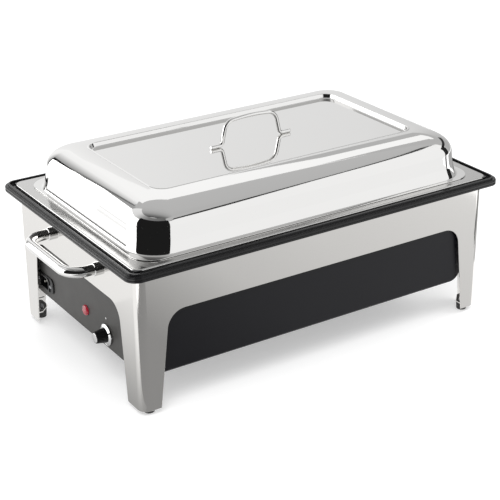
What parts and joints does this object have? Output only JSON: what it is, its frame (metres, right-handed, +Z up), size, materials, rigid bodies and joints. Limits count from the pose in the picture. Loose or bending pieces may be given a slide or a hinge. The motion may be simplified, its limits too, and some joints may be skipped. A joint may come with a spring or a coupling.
{
  "type": "electric buffet server",
  "caption": "Electric chafing dish: mirror lift-off lid over a full-size food pan and water pan, black rim, steel stand with end handles, and a dark casing with thermostat knob and lamp.",
  "frame": {"origin": "middle of the footprint, on the surface that the rubber feet stand on", "axes": "+X along the long side away from the control end, +Y towards the rear long side, +Z up"},
  "size_m": [0.677, 0.395, 0.3192],
  "materials": {
    "polished_steel": "mirror polished stainless steel",
    "frame_steel": "polished stainless sheet with a faint grain",
    "pan_steel": "satin stainless sheet",
    "rim_plastic": "black moulded plastic, fine grain",
    "case_black": "black satin enamel",
    "panel_charcoal": "charcoal powder coat, satin",
    "black_plastic": "black moulded plastic",
    "knob_trim": "bright chrome plating",
    "lens_red": "red translucent polycarbonate",
    "lamp_white": "white nylon",
    "zinc_steel": "bright zinc plated",
    "pin_metal": "nickel plated brass",
    "spreader_aluminium": "mill finish",
    "element_sheath": "heat darkened sheath",
    "insulation": "mineral fibre board",
    "foot_rubber": "matt black rubber",
    "wire_brown": "brown silicone insulation",
    "wire_blue": "blue silicone insulation",
    "wire_green": "green silicone insulation"
  },
  "bodies": {
    "base": {"frame": "frame_steel", "foot_brackets": "frame_steel", "rubber_feet": "foot_rubber", "foot_screws": "zinc_steel", "foot_nuts": "zinc_steel", "rim": "rim_plastic", "rim_screws": "zinc_steel", "water_pan": "pan_steel", "end_handle_left": "polished_steel", "end_handle_right": "polished_steel", "handle_collars": "polished_steel", "handle_plugs": "zinc_steel", "handle_screws": "zinc_steel", "housing": "case_black", "control_panel": "panel_charcoal", "panel_screws": "case_black", "index_dot": "knob_trim", "thermostat_body": "black_plastic", "thermostat_screws": "zinc_steel", "lamp_lens": "lens_red", "lamp_body": "lamp_white", "inlet_body": "black_plastic", "inlet_pins": "pin_metal", "inlet_screws": "zinc_steel", "heat_spreader": "spreader_aluminium", "heating_element": "element_sheath", "element_clamps": "zinc_steel", "clamp_studs": "zinc_steel", "clamp_nuts": "zinc_steel", "insulation_pad": "insulation", "heat_shield": "zinc_steel", "thermal_cutout": "black_plastic", "thermostat_bulb": "pin_metal", "terminal_block": "lamp_white", "earth_stud": "zinc_steel", "wire_live": "wire_brown", "wire_feed": "wire_brown", "wire_load": "wire_brown", "wire_neutral": "wire_blue", "wire_earth": "wire_green", "lamp_leads": "wire_brown"},
    "food_pan": {"food_pan": "pan_steel"},
    "lid": {"lid": "polished_steel", "lid_handle": "polished_steel"},
    "knob": {"knob_skirt": "knob_trim", "knob_body": "black_plastic", "knob_cap": "knob_trim", "thermostat_shaft": "zinc_steel"}
  },
  "joints": [
    {"name": "food_pan_lift", "type": "slide", "parent": "base", "child": "food_pan", "axis": [0, 0, 1], "range_m": [0, 0.12]},
    {"name": "lid_lift", "type": "slide", "parent": "food_pan", "child": "lid", "axis": [0, 0, 1], "range_m": [0, 0.2]},
    {"name": "knob_turn", "type": "hinge", "parent": "base", "child": "knob", "pos_m": [-0.281, -0.0705, 0.075], "axis": [1, 0, 0], "range_deg": [0, 270]}
  ]
}
